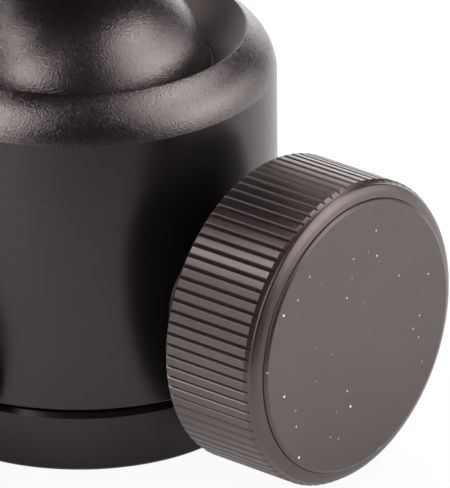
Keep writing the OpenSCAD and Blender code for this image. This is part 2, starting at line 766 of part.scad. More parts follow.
module level_bubble() color([0.95, 1, 0.8])
    translate([level_x, level_y, level_z + level_depth - level_wall])
        difference() {
            sphere(r = bubble_r);
            translate([-bubble_r, -bubble_r, 0]) cube(2 * bubble_r);
        }

base_plate();
lower_thrust_washer();
upper_thrust_washer();
retaining_ring();
retaining_screws();
housing();
bearing_plug();
plug_set_screws();
lock_bush();
upper_race();
piston_springs();
pressure_piston();
lock_washer();
main_knob();
knob_front_disc();
knob_fixing_screw();
lock_screw();
pan_washer();
pan_knob();
pan_knob_disc();
pan_screw();
brake_pad();
lower_cup();
ball();
stem();
clamp_bolt();
locating_pin();
clamp_body();
guide_pins();
jaw_springs();
level_vial();
level_fluid();
level_bubble();
clamp_jaw();
clamp_washer();
clamp_knob();
clamp_knob_disc();
clamp_screw();
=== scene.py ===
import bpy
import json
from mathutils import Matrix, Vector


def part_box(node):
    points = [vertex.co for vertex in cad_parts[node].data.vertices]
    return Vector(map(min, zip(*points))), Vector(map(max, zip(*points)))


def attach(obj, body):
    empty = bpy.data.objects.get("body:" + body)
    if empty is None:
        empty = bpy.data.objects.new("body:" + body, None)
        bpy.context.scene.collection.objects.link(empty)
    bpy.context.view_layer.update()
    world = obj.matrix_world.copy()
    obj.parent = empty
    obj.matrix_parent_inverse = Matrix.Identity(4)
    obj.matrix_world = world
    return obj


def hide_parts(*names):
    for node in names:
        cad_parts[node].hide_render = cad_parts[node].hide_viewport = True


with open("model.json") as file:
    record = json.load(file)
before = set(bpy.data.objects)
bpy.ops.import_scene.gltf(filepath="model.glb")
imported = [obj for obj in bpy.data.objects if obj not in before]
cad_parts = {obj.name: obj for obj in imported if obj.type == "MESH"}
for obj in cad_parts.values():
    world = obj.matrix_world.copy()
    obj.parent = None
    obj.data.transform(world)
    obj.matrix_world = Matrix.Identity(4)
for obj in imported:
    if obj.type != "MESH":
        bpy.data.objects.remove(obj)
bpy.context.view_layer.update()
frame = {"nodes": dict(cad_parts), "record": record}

# The looks of a tripod ball head: its turned, ribbed and milled pieces, their finishes, the studio and
# the camera. Sizes are in mm, and MM turns them into the metres of the frame. Distances in the studio
# are in metres. Names in capitals are chosen values, and the others are worked out from them and from
# the frame.

import json
import math

import bmesh
import bpy
from mathutils import Matrix, Vector

MM = 0.001
UP = (0, 0, 1)
TO_RIGHT = (1, 0, 0)
TO_FRONT = (0, -1, 0)

nodes = frame["nodes"]


# ---- Places ----

def box_mm(node):
    """The low and the high corner of a node's box."""
    low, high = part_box(node)
    return low / MM, high / MM


def place(origin, axis):
    """The matrix that puts a local +Z along axis, with its origin at a point in mm."""
    turn = Vector(UP).rotation_difference(Vector(axis)).to_matrix().to_4x4()
    return Matrix.Translation(Vector(origin) * MM) @ turn


AT_ORIGIN = place((0, 0, 0), UP)

base_high = box_mm("base_plate")[1]
stem_high = box_mm("stem")[1]
cap_low, cap_high = box_mm("knob_front_disc")
pan_knob_low, pan_knob_high = box_mm("pan_knob")
clamp_knob_low, clamp_knob_high = box_mm("clamp_knob")

housing_low, housing_high = box_mm("housing")
housing_r = housing_high.y
housing_z = housing_low.z
rim_z = housing_high.z

ball_low, ball_high = box_mm("ball")
ball_r = (ball_high.x - ball_low.x) / 2
ball_z = ball_low.z + ball_r

knob_low, knob_high = box_mm("main_knob")
knob_r = (knob_high.y - knob_low.y) / 2
knob_z = (knob_high.z + knob_low.z) / 2
knob_x = knob_low.x
knob_l = knob_high.x - knob_low.x


# ---- Mesh building ----

def arc_points(centre, radius, start, end, steps):
    """Points on an arc, angles in degrees."""
    angles = [math.radians(start + (end - start) * i / steps) for i in range(steps + 1)]
    return [(centre[0] + radius * math.cos(a), centre[1] + radius * math.sin(a)) for a in angles]


def arc_between(start, end, radius, steps):
    """Points on an outward arc from start to end, where end lies further in and further up."""
    chord = Vector(end) - Vector(start)
    middle = Vector(start) + chord / 2
    back_off = math.sqrt(radius ** 2 - (chord.length / 2) ** 2)
    centre = middle - Vector((chord.y, -chord.x)).normalized() * back_off
    first, last = (math.degrees(math.atan2(p[1] - centre.y, p[0] - centre.x)) for p in (start, end))
    return arc_points(centre, radius, first, last, steps)


def rounded(corners, steps=4):
    """An open outline through corners (r, z) or (r, z, rounding). Each rounding is an arc of that radius,
    tangent to both sides of its corner, in as many steps."""
    out = []
    for i, corner in enumerate(corners):
        rounding = corner[2] if len(corner) > 2 else 0
        here = Vector(corner[:2])
        if rounding <= 0 or i in (0, len(corners) - 1):
            out.append(tuple(here))
            continue
        before = (Vector(corners[i - 1][:2]) - here).normalized()
        after = (Vector(corners[i + 1][:2]) - here).normalized()
        half = before.angle(after) / 2
        reach = rounding / math.tan(half)
        centre = here + (before + after).normalized() * rounding / math.sin(half)
        first, last = here + before * reach, here + after * reach
        a, b = first - centre, last - centre
        swing = a.angle_signed(b)
        for k in range(steps + 1):
            turn = -swing * k / steps
            out.append(tuple(centre + Vector((
                a.x * math.cos(turn) - a.y * math.sin(turn),
                a.x * math.sin(turn) + a.y * math.cos(turn)))))
    return out


def new_object(name, data):
    """A new object that is in the scene."""
    piece = bpy.data.objects.new(name, data)
    bpy.context.scene.collection.objects.link(piece)
    return piece


def from_rings(bm, rings, closed_outline=False, second_band=None):
    """Joins neighbouring rings of points with faces, and gives back their vertices. A ring of one point
    closes the form there. The faces after the ring second_band take the second material."""
    made = [[bm.verts.new(Vector(p) * MM) for p in ring] for ring in rings]
    pairs = list(zip(made, made[1:]))
    if closed_outline:
        pairs.append((made[-1], made[0]))
    for band, (a, b) in enumerate(pairs):
        n = max(len(a), len(b))
        for k in range(n):
            m = (k + 1) % n
            if len(a) == 1:
                face = bm.faces.new((a[0], b[m], b[k]))
            elif len(b) == 1:
                face = bm.faces.new((a[k], a[m], b[0]))
            else:
                face = bm.faces.new((a[k], a[m], b[m], b[k]))
            face.material_index = int(band == second_band)
    return made


ON_AXIS = 1e-6


def circle(radius, z, segments):
    """The ring that one point of a turned outline makes: a single point where it lies on the axis."""
    if radius < ON_AXIS:
        return [(0, 0, z)]
    angles = [2 * math.pi * k / segments for k in range(segments)]
    return [(radius * math.cos(a), radius * math.sin(a), z) for a in angles]


SHARP_ANGLE = 32


def finish_mesh(bm, name, matrix, sharp=SHARP_ANGLE):
    """The mesh of bm, moved by the matrix. Edges that turn by more than sharp degrees stay sharp."""
    bmesh.ops.recalc_face_normals(bm, faces=bm.faces)
    mesh = bpy.data.meshes.new(name)
    bm.to_mesh(mesh)
    bm.free()
    mesh.transform(matrix)
    mesh.shade_smooth()
    mesh.set_sharp_from_angle(angle=math.radians(sharp))
    return mesh


def even_shading(piece):
    """Large faces shade flat, and the narrow rounding between them takes the whole turn."""
    modifier = piece.modifiers.new("even_shading", "WEIGHTED_NORMAL")
    modifier.weight = 100
    modifier.keep_sharp = True
    return piece


SEGMENTS = 192
FINE_SEGMENTS = 288


def turned(name, outline, matrix, segments=SEGMENTS, closed=False):
    """A lathe form about the matrix's local Z. Its outline (r, z) runs from axis to axis, or is closed
    round a wall."""
    bm = bmesh.new()
    from_rings(bm, [circle(r, z, segments) for r, z in outline], closed_outline=closed)
    return even_shading(new_object(name, finish_mesh(bm, name, matrix)))


def cut_and_clean(piece, cutters):
    """Takes the cutters away from the piece and keeps the result as its mesh."""
    for cutter in cutters:
        modifier = piece.modifiers.new("cut", "BOOLEAN")
        modifier.operation = "DIFFERENCE"
        modifier.solver = "EXACT"
        modifier.object = cutter
    bpy.context.view_layer.update()
    evaluated = piece.evaluated_get(bpy.context.evaluated_depsgraph_get())
    shape = bpy.data.meshes.new_from_object(evaluated)
    piece.modifiers.clear()
    piece.data = shape
    shape.name = piece.name
    shape.shade_smooth()
    shape.set_sharp_from_angle(angle=math.radians(SHARP_ANGLE))
    even_shading(piece)
    for cutter in cutters:
        bpy.data.objects.remove(cutter)


# ---- Ribbed knobs and their discs ----

RIB_STEPS = 4
RIB_END_ANGLE = 52
RIB_SHARP_ANGLE = 28
BACK_CHAMFER = 0.5
SEAT_CHAMFER = 0.06

# A knob's front starts this far below the grooves between its ribs.
GROOVE_MARGIN = 0.02

# The two corners of a knob's front between its ribs and the disc's seat. Each has its way in as a share
# of the front's width, and its height and its rounding as shares of the front's height.
FRONT_CORNERS = ((0.04, 0.3, 0.5), (0.52, 0.74, 2.4))
FRONT_STEPS = 6

rib_end_slope = math.tan(math.radians(RIB_END_ANGLE))


def rib_pitch(radius, count, land, depth, lip):
    """One rib and groove as (angle, radius) steps: a land with rounded edges, and a V cut beside it."""
    pitch = 2 * math.pi * radius / count
    half = rounded([(0, radius), (land / 2, radius, lip), (pitch / 2, radius - depth)], RIB_STEPS)
    steps = half + [(pitch - s, r) for s, r in reversed(half[:-1])]
    return [(s / radius, r) for s, r in steps[:-1]]


def knob_front(root_r, root_z, end_r, end_z):
    """The rounded front of a knob, from the foot of its ribs to the mouth of the disc's seat."""
    width = root_r - end_r
    rise = end_z - root_z
    corners = [(root_r - inward * width, root_z + along * rise, rounding * rise)
               for inward, along, rounding in FRONT_CORNERS]
    return rounded([(root_r, root_z)] + corners + [(end_r, end_z)], FRONT_STEPS)


def ribbed_knob(name, matrix, radius, length, seat_r, bore_r, count, rib, bevel_l, seat_depth):
    """A knob with straight ribs. A cone cuts their ends to a zigzag, and a rounded front runs on to the
    disc's seat."""
    turn = 2 * math.pi / count
    columns = [(i * turn + a, r) for i in range(count) for a, r in rib_pitch(radius, count, **rib)]

    def ring(radius_at, height_at):
        return [(radius_at(r) * math.cos(a), radius_at(r) * math.sin(a), height_at(r))
                for a, r in columns]

    def plain_ring(at_r, at_z):
        return ring(lambda r: at_r, lambda r: at_z)

    root_r = radius - rib["depth"] - GROOVE_MARGIN
    root_z = length - bevel_l + (radius - root_r) * rib_end_slope
    back_r = radius - BACK_CHAMFER
    seat_z = length - seat_depth
    rings = [
        plain_ring(bore_r, 0),
        plain_ring(back_r, 0),
        ring(lambda r: r, lambda r: r - back_r),
        ring(lambda r: r, lambda r: length - bevel_l + (radius - r) * rib_end_slope),
    ]
    ribs_start = len(rings) - 2
    rings += [plain_ring(*point) for point in knob_front(root_r, root_z, seat_r + SEAT_CHAMFER, length)]
    rings += [
        plain_ring(seat_r, length - SEAT_CHAMFER),
        plain_ring(seat_r, seat_z),
        plain_ring(bore_r, seat_z),
    ]
    bm = bmesh.new()
    from_rings(bm, rings, closed_outline=True, second_band=ribs_start)
    return even_shading(new_object(name, finish_mesh(bm, name, matrix, sharp=RIB_SHARP_ANGLE)))


DISC_CHAMFER_W = 0.38
DISC_CHAMFER_L = 0.32
DISC_BACK_ROUNDING = 0.1
DISC_SIDE_ROUNDING = 0.12
DISC_FACE_ROUNDING = 0.25


def front_disc(name, radius, thickness, matrix):
    """The plain disc that covers a knob's screw, with a chamfer round its face."""
    return turned(name, rounded([
        (0, 0), (radius, 0, DISC_BACK_ROUNDING),
        (radius, thickness - DISC_CHAMFER_L, DISC_SIDE_ROUNDING),
        (radius - DISC_CHAMFER_W, thickness, DISC_FACE_ROUNDING), (0, thickness)
    ], steps=6), matrix)


# ---- Base ----

BASE_TOP = 10.4
BASE_SLOPE = 2.3
BASE_SLOPE_ROUNDING = 0.1
BASE_TOP_ROUNDING = 0.2
BASE_FACET_W = 0.32
BASE_FACET_L = 0.8
FOOT_CHAMFER_W = 0.35
FOOT_CHAMFER_L = 0.4
FOOT_FACE_ROUNDING = 0.15
FOOT_SIDE_ROUNDING = 0.3
SPINDLE_R = 12
THREAD_R = 3.97
THREAD_DEPTH = 12
THREAD_CHAMFER_W = 0.6
THREAD_CHAMFER_L = 0.5
THREAD_ROUNDING = 0.05

base_r = base_high.x
slope_z = BASE_TOP - BASE_SLOPE
spindle_z = base_high.z
thread_bore = [(0, THREAD_DEPTH), (THREAD_R, THREAD_DEPTH)]
base_outline = rounded([
    (THREAD_R, THREAD_CHAMFER_L),
    (THREAD_R + THREAD_CHAMFER_W, 0, THREAD_ROUNDING),
    (base_r - FOOT_CHAMFER_W, 0, FOOT_FACE_ROUNDING),
    (base_r, FOOT_CHAMFER_L, FOOT_SIDE_ROUNDING),
    (base_r, slope_z, BASE_SLOPE_ROUNDING),
    (base_r - BASE_FACET_W, slope_z + BASE_FACET_L, BASE_SLOPE_ROUNDING),
    (base_r - BASE_SLOPE, BASE_TOP, BASE_TOP_ROUNDING),
    (SPINDLE_R, BASE_TOP), (SPINDLE_R, spindle_z), (0, spindle_z)
], steps=5)
base = turned("base_disc", thread_bore + base_outline, AT_ORIGIN)
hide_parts("base_plate")
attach(base, "base")


# ---- Housing ----

SHOULDER_Z = 51.4
SHOULDER_R = 8.3
SHOULDER_STEPS = 28
RIM_R = 23.8
RIM_ROUNDING = 0.2
LIP_R = 19.06
LIP_Z = 52.4
LIP_T = 0.15
LIP_ROUNDING = 0.02
BORE_R = 20
HOUSING_FOOT_ROUNDING = 0.3

# Rings of vertices on the straight side, which keep its shading even beside the notch and the shoulder.
RING_OVER_FOOT = 6
RINGS_UNDER_SHOULDER = (10, 0.2)

side_heights = [housing_z + RING_OVER_FOOT] + [SHOULDER_Z - gap for gap in RINGS_UNDER_SHOULDER]
side = rounded([
    (BORE_R, housing_z), (housing_r, housing_z, HOUSING_FOOT_ROUNDING), (housing_r, SHOULDER_Z)
], steps=5)[:-1] + [(housing_r, z) for z in side_heights]
shoulder = arc_between((housing_r, SHOULDER_Z), (RIM_R, rim_z), SHOULDER_R, SHOULDER_STEPS)
inward = Vector((LIP_R - RIM_R, LIP_Z + LIP_T - rim_z)).normalized()
funnel_start = (RIM_R + inward.x, rim_z + inward.y)
rim = rounded([shoulder[-2], (RIM_R, rim_z, RIM_ROUNDING), funnel_start], steps=5)[1:-1]
funnel = rounded([funnel_start, (LIP_R, LIP_Z + LIP_T, LIP_ROUNDING), (BORE_R, LIP_Z)])
housing = turned("housing_body", side + shoulder[:-1] + rim + funnel, AT_ORIGIN,
                 segments=FINE_SEGMENTS, closed=True)

NOTCH_R = 8
NOTCH_STEPS = 32
NOTCH_HEIGHT = 20
NOTCH_START_X = -10
NOTCH_MARGIN = 3


def notch_cutter():
    """The way for the neck out along -X: a U in section, open at the top."""
    section = (
        [(NOTCH_R, NOTCH_HEIGHT)]
        + arc_points((0, 0), NOTCH_R, 0, -180, NOTCH_STEPS)
        + [(-NOTCH_R, NOTCH_HEIGHT)]
    )
    bm = bmesh.new()
    ends = from_rings(bm, [
        [(x, y, ball_z + z) for y, z in section] for x in (NOTCH_START_X, -housing_r - NOTCH_MARGIN)
    ])
    for end in ends:
        bm.faces.new(end)
    return new_object("notch_cutter", finish_mesh(bm, "notch_cutter", Matrix.Identity(4)))


SET_SCREW_R = 1.6
SET_SCREW_Z = 15.5
SET_SCREW_ANGLES = (145, 215)
SET_SCREW_START = 15
SET_SCREW_REACH = 35
SET_SCREW_SEGMENTS = 48


def set_screw_cutter(name, angle):
    """The hole of a set screw, out through the housing's side."""
    outwards = (math.cos(math.radians(angle)), math.sin(math.radians(angle)), 0)
    return turned(name, [
        (0, SET_SCREW_START), (SET_SCREW_R, SET_SCREW_START),
        (SET_SCREW_R, SET_SCREW_REACH), (0, SET_SCREW_REACH)
    ], place((0, 0, SET_SCREW_Z), outwards), segments=SET_SCREW_SEGMENTS)


cut_and_clean(housing, [notch_cutter()] + [
    set_screw_cutter(f"set_screw_hole_{i}", angle) for i, angle in enumerate(SET_SCREW_ANGLES)
])

HEIGHT_TOLERANCE = 0.001
SIDE_TOLERANCE = 0.1


def where_shoulder_starts(vertex):
    """Whether a vertex lies on the ring between the housing's straight side and its shoulder."""
    point = vertex.co / MM
    off_axis = math.hypot(point.x, point.y)
    return abs(point.z - SHOULDER_Z) < HEIGHT_TOLERANCE and off_axis > housing_r - SIDE_TOLERANCE


for edge in housing.data.edges:
    if all(where_shoulder_starts(housing.data.vertices[i]) for i in edge.vertices):
        edge.use_edge_sharp = True
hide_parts("housing")
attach(housing, "housing")


# ---- Bosses on the housing ----

LOCK_BOSS_R = 11
LOCK_BOSS_BORE_R = 7
LOCK_BOSS_START = 23
LOCK_BOSS_ROUNDING = 0.3
GAP_TO_MAIN_KNOB = 0.5
PAN_BOSS_R = 3.4
PAN_BOSS_BORE_R = 2.6
PAN_BOSS_START = 24
PAN_BOSS_ROUNDING = 0.15
PAN_BOSS_SEGMENTS = 64


def tube_outline(bore_r, outer_r, start, end, rounding):
    """A tube's wall, with its outer edge rounded at the end."""
    return rounded([(bore_r, start), (outer_r, start), (outer_r, end, rounding), (bore_r, end)])


pan_knob_z = (pan_knob_low.z + pan_knob_high.z) / 2
boss = turned("lock_boss", tube_outline(
    LOCK_BOSS_BORE_R, LOCK_BOSS_R, LOCK_BOSS_START, knob_x - GAP_TO_MAIN_KNOB, LOCK_BOSS_ROUNDING
), place((0, 0, knob_z), TO_RIGHT), closed=True)
pan_boss = turned("pan_boss", tube_outline(
    PAN_BOSS_BORE_R, PAN_BOSS_R, PAN_BOSS_START, -housing_low.y, PAN_BOSS_ROUNDING
), place((0, 0, pan_knob_z), TO_FRONT), segments=PAN_BOSS_SEGMENTS, closed=True)
for piece in (boss, pan_boss):
    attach(piece, "housing")


# ---- Ball ----

BALL_FLAT_R = 7.8
BALL_STEPS = 150

flat_z = math.sqrt(ball_r ** 2 - BALL_FLAT_R ** 2)
flat_angle = math.degrees(math.acos(BALL_FLAT_R / ball_r))
ball = turned("ball_body",
              arc_points((0, 0), ball_r, -90, flat_angle, BALL_STEPS) + [(0, flat_z)],
              place((0, 0, ball_z), UP), segments=FINE_SEGMENTS)
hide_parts("ball")
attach(ball, "ball")


# ---- Stem ----

# The stem's underside stands this far off the ball's flat, so that the two don't lie in one plane.
STEM_GAP = 0.02
NECK_R = 6.5
NECK_FILLET = 1.3
NECK_STEPS = 8
FLANGE_T = 3
FLANGE_CHAMFER = 0.5
FLANGE_ROUNDING = 0.2

stem_z = ball_z + flat_z + STEM_GAP
flange_r = stem_high.x
flange_top = stem_high.z
flange_z = flange_top - FLANGE_T
fillet_r = NECK_R + NECK_FILLET
stem = turned("stem_body", (
    [(0, stem_z)]
    + arc_points((fillet_r, stem_z + NECK_FILLET), NECK_FILLET, 270, 180, NECK_STEPS)
    + arc_points((fillet_r, flange_z - NECK_FILLET), NECK_FILLET, 180, 90, NECK_STEPS)
    + rounded([
        (fillet_r, flange_z),
        (flange_r - FLANGE_CHAMFER, flange_z, FLANGE_ROUNDING),
        (flange_r, flange_z + FLANGE_CHAMFER, FLANGE_ROUNDING),
        (flange_r, flange_top, FLANGE_ROUNDING),
        (0, flange_top)
    ])[1:]
), AT_ORIGIN)
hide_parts("stem")
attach(stem, "head")


# ---- Knobs ----

MAIN_KNOB = {
    "count": 85, "rib": {"land": 1.03, "depth": 0.45, "lip": 0.16}, "bevel_l": 1.65, "seat_depth": 2.2,
}
SMALL_KNOB = {"rib": {"land": 1.05, "depth": 0.45, "lip": 0.12}, "bevel_l": 0.8, "seat_depth": 1.5}
SMALL_KNOB_RING = 1.45
MAIN_SCREW_R = 4
SCREW_CLEARANCE = 0.02
DISC_CLEARANCE = 0.04

cap_r = (cap_high.y - cap_low.y) / 2
knob = ribbed_knob("main_knob_body", place((knob_x, 0, knob_z), TO_RIGHT), knob_r, knob_l,
                   seat_r=cap_r + DISC_CLEARANCE, bore_r=MAIN_SCREW_R + SCREW_CLEARANCE, **MAIN_KNOB)
cap = front_disc("main_knob_disc", cap_r, cap_high.x - cap_low.x,
                 place((cap_low.x, 0, knob_z), TO_RIGHT))
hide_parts("main_knob")
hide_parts("knob_front_disc")

small_knobs = []
for node, disc_node, low, high, count, screw_r, body in (
        ("pan_knob", "pan_knob_disc", pan_knob_low, pan_knob_high, 32, 2.5, "pan_knob"),
        ("clamp_knob", "clamp_knob_disc", clamp_knob_low, clamp_knob_high, 34, 3, "clamp_knob")):
    radius = (high.x - low.x) / 2
    middle_z = (high.z + low.z) / 2
    body_piece = ribbed_knob(node + "_body", place((0, high.y, middle_z), TO_FRONT), radius, high.y - low.y,
                             seat_r=radius - SMALL_KNOB_RING, bore_r=screw_r + SCREW_CLEARANCE,
                             count=count, **SMALL_KNOB)
    disc_low, disc_high = box_mm(disc_node)
    disc = front_disc(disc_node + "_body", (disc_high.x - disc_low.x) / 2, disc_high.y - disc_low.y,
                      place((0, disc_high.y, middle_z), TO_FRONT))
    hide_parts(node)
    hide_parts(disc_node)
    small_knobs.append((body_piece, disc, body))
for piece, disc, body in [(knob, cap, "main_knob")] + small_knobs:
    for part in (piece, disc):
        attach(part, body)


# ---- Clamp ----

# Points of the CAD mesh that are closer than this, in metres, become one, and faces that meet at less
# than this angle become one too.
SAME_POINT_M = 1e-7
FLAT_ANGLE = 1
MILLED_EDGE = 0.25
MILLED_ANGLE = 30
MILLED_STEPS = 3


def bevelled_copy(node, name, width, body):
    """The CAD solid with its edges broken, as a piece of its own."""
    piece = new_object(name, nodes[node].data.copy())
    bm = bmesh.new()
    bm.from_mesh(piece.data)
    bmesh.ops.remove_doubles(bm, verts=bm.verts, dist=SAME_POINT_M)
    bmesh.ops.dissolve_limit(bm, angle_limit=math.radians(FLAT_ANGLE), verts=bm.verts, edges=bm.edges)
    bm.to_mesh(piece.data)
    bm.free()
    modifier = piece.modifiers.new("edges", "BEVEL")
    modifier.width = width * MM
    modifier.segments = MILLED_STEPS
    modifier.limit_method = "ANGLE"
    modifier.angle_limit = math.radians(MILLED_ANGLE)
    piece.data.shade_smooth()
    piece.data.set_sharp_from_angle(angle=math.radians(SHARP_ANGLE))
    even_shading(piece)
    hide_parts(node)
    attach(piece, body)
    return piece


clamp = bevelled_copy("clamp_body", "clamp_body_milled", MILLED_EDGE, "head")
jaw = bevelled_copy("clamp_jaw", "clamp_jaw_milled", MILLED_EDGE, "clamp_jaw")


# ---- Materials ----

class Shader:
    """Builds a node material with few words."""

    def __init__(self, name):
        self.material = bpy.data.materials.new(name)
        self.material.use_nodes = True
        self.tree = self.material.node_tree
        self.bsdf = self.tree.nodes["Principled BSDF"]
        self.coords = self.tree.nodes.new("ShaderNodeTexCoord").outputs["Object"]

    def node(self, kind, settings=None, **inputs):
        """A new node. An input's name is written with _ for each space."""
        made = self.tree.nodes.new("ShaderNode" + kind)
        for key, value in (settings or {}).items():
            setattr(made, key, value)
        for key, value in inputs.items():
            self.put(made.inputs[key.replace("_", " ")], value)
        return made

    def put(self, socket, value):
        """Gives an input its value, or links it to another node's output."""
        if isinstance(value, bpy.types.NodeSocket):
            self.tree.links.new(value, socket)
        else:
            socket.default_value = value

    def noise(self, size_mm, detail=2.0):
        """A noise value with features of about size_mm."""
        made = self.node("TexNoise", Vector=self.coords, Scale=1 / (size_mm * MM), Detail=detail)
        return made.outputs["Fac"]

    def ramp(self, value, low, high, out_low, out_high):
        """The value's range from low to high, spread over out_low to out_high."""
        return self.node("MapRange", {"clamp": True}, Value=value, From_Min=low, From_Max=high,
                         To_Min=out_low, To_Max=out_high).outputs["Result"]

    def patches(self, size_mm, low, high, detail=2.0, blur=0.2):
        """From low to high in patches of about size_mm, the softer the larger the blur."""
        return self.ramp(self.noise(size_mm, detail), 0.5 - blur, 0.5 + blur, low, high)

    def mix(self, fac, a, b):
        made = self.tree.nodes.new("ShaderNodeMix")
        made.data_type = "RGBA"
        self.put(made.inputs["Factor"], fac)
        self.put(made.inputs["A"], a)
        self.put(made.inputs["B"], b)
        return made.outputs["Result"]

    def bump(self, height, depth_mm):
        return self.node("Bump", Height=height, Strength=1.0, Distance=depth_mm * MM).outputs["Normal"]

    def of_two(self, kind, operation, a, b):
        """The value that a node of the kind Math or VectorMath makes of two inputs."""
        made = self.node(kind, {"operation": operation})
        self.put(made.inputs[0], a)
        self.put(made.inputs[1], b)
        return made.outputs["Value"]

    def maths(self, operation, a, b):
        return self.of_two("Math", operation, a, b)

    def dot(self, a, b):
        return self.of_two("VectorMath", "DOT_PRODUCT", a, b)

    def set(self, **inputs):
        """Sets the surface's own inputs."""
        for key, value in inputs.items():
            self.put(self.bsdf.inputs[key.replace("_", " ")], value)


def opaque(*colour):
    return colour + (1,)


def darker(colour, share):
    return opaque(*(c * share for c in colour[:3]))


BLACK_DYE = (1.15, 0.95, 1)
CLOUD_CONTRAST = 0.2
SMALLEST_SPECK = 0.35
DULL_SPECK = opaque(0.6, 0.58, 0.55)
PALE_SPECK = opaque(1.0, 0.97, 0.94)


def black_dye(value):
    """The dark of dyed anodising, with its touch of red."""
    return opaque(*(value * share for share in BLACK_DYE))


def dust(s, spacing_mm, size_mm, share):
    """Up to 1 on small specks of differing size and strength. The share is how many cells hold one."""
    cells = s.node("TexVoronoi", Vector=s.coords, Scale=1 / (spacing_mm * MM), Randomness=1.0)
    chance = s.node("SeparateColor", Color=cells.outputs["Color"])
    largest = size_mm / spacing_mm
    reach = s.ramp(chance.outputs["Green"], 0, 1, SMALLEST_SPECK * largest, largest)
    spot = s.maths("LESS_THAN", cells.outputs["Distance"], reach)
    return s.maths("MULTIPLY", spot, s.ramp(chance.outputs["Red"], 1 - share, 1, 0, 1))


def anodising(name, ior, tint, roughness, grain_mm, depth_mm, shade=0.012, specks=None, speck=DULL_SPECK):
    """Black anodised metal: a dark dye under a clear hard layer, with the grain of the surface below it."""
    s = Shader(name)
    colour = s.mix(s.patches(size_mm=8, low=0, high=1, detail=4),
                   black_dye(shade * (1 - CLOUD_CONTRAST)), black_dye(shade * (1 + CLOUD_CONTRAST)))
    if specks:
        colour = s.mix(dust(s, **specks), colour, speck)
    s.set(
        Base_Color=colour,
        Roughness=s.patches(size_mm=1.1, low=roughness - 0.02, high=roughness + 0.02, detail=3),
        Metallic=0.0, IOR=ior, Specular_Tint=opaque(*tint),
        Normal=s.bump(s.noise(size_mm=grain_mm, detail=0.0), depth_mm=depth_mm),
    )
    return s.material


def plain_metal(name, colour, roughness):
    """Bare or oxidised metal with a fine grain."""
    s = Shader(name)
    wear = s.patches(size_mm=2.5, low=0, high=1, detail=4, blur=0.15)
    s.set(
        Base_Color=s.mix(wear, darker(colour, share=0.82), colour),
        Roughness=s.patches(size_mm=0.7, low=roughness - 0.05, high=roughness + 0.08, detail=3),
        Metallic=1.0,
        Normal=s.bump(s.noise(size_mm=0.08), depth_mm=0.002),
    )
    return s.material


def moulded_plastic(name, colour, roughness):
    """Opaque plastic with a faint moulded grain."""
    s = Shader(name)
    clouds = s.patches(size_mm=3, low=0, high=1, detail=3)
    s.set(
        Base_Color=s.mix(clouds, darker(colour, share=0.85), colour),
        Roughness=s.patches(size_mm=0.6, low=roughness - 0.05, high=roughness + 0.05),
        IOR=1.48,
        Normal=s.bump(s.noise(size_mm=0.15), depth_mm=0.003),
    )
    return s.material


def clear_plastic(name, colour, alpha):
    """A thin clear shell, see-through without bending the light."""
    s = Shader(name)
    s.set(Base_Color=colour, Roughness=s.patches(size_mm=1.5, low=0.03, high=0.08), IOR=1.49, Alpha=alpha)
    return s.material


def level_filling(name, dark, light, colour_mm, smooth, rough, sheen_mm):
    """What lies in the level's vial, in the bright colour that it shows through the vial. Its colour and
    its roughness vary in patches of colour_mm and sheen_mm."""
    s = Shader(name)
    s.set(
        Base_Color=s.mix(s.noise(size_mm=colour_mm), dark, light),
        Roughness=s.patches(size_mm=sheen_mm, low=smooth, high=rough),
        IOR=1.36,
    )
    return s.material


# The bead-blasted pieces. The ball's base colour, paler than the shoulder's, is painted fill light.
BLASTED = {"ior": 1.81, "tint": (1.0, 0.89, 0.89), "roughness": 0.27, "grain_mm": 0.21, "depth_mm": 0.05}
blasted = anodising("blasted_black", shade=0.0035, **BLASTED)
ball_finish_painted_fill = anodising("blasted_black_ball_painted_fill", shade=0.011, **BLASTED)

# The turned and milled pieces.
# The funnel's finish is rougher than the shoulder's, and its paler base colour is painted light that
# brightens it.
funnel_finish_and_painted_light = anodising("funnel_black", ior=1.8, tint=(1.0, 0.86, 0.84), roughness=0.5,
                          grain_mm=0.25, depth_mm=0.01, shade=0.03)
satin = anodising("satin_black", ior=1.47, tint=(1.0, 0.85, 0.9), roughness=0.3,
                  grain_mm=0.3, depth_mm=0.006, shade=0.0035,
                  specks={"spacing_mm": 3.0, "size_mm": 0.12, "share": 0.3})
knob_finish = anodising("knob_black", ior=1.73, tint=(1.0, 0.83, 0.8), roughness=0.32,
                        grain_mm=0.25, depth_mm=0.006, shade=0.006)
rib_finish = anodising("ribs_black", ior=2.25, tint=(1.0, 0.81, 0.77), roughness=0.34,
                       grain_mm=0.2, depth_mm=0.01, shade=0.009)
disc_finish = anodising("disc_black", ior=1.68, tint=(1.0, 0.83, 0.81), roughness=0.34,
                        grain_mm=0.25, depth_mm=0.003, speck=PALE_SPECK,
                        specks={"spacing_mm": 1.6, "size_mm": 0.2, "share": 0.09})

steel = plain_metal("bright_steel", opaque(0.62, 0.61, 0.59), roughness=0.28)
dark_steel = plain_metal("black_oxide_steel", opaque(0.07, 0.068, 0.066), roughness=0.38)
bare_aluminium = plain_metal("turned_aluminium", opaque(0.74, 0.74, 0.75), roughness=0.35)
brass = plain_metal("turned_brass", opaque(0.75, 0.57, 0.27), roughness=0.3)
white_plastic = moulded_plastic("white_acetal", opaque(0.72, 0.71, 0.67), roughness=0.45)
black_plastic = moulded_plastic("black_acetal", opaque(0.014, 0.014, 0.014), roughness=0.7)
clear = clear_plastic("clear_acrylic", opaque(0.93, 0.97, 0.94), alpha=0.2)
fluid = level_filling("level_spirit", dark=opaque(0.5, 0.72, 0.06), light=opaque(0.6, 0.8, 0.09),
                      colour_mm=4, smooth=0.1, rough=0.18, sheen_mm=1.2)
bubble = level_filling("level_bubble", dark=opaque(0.8, 0.9, 0.45), light=opaque(0.88, 0.95, 0.6),
                       colour_mm=1.5, smooth=0.08, rough=0.14, sheen_mm=0.8)

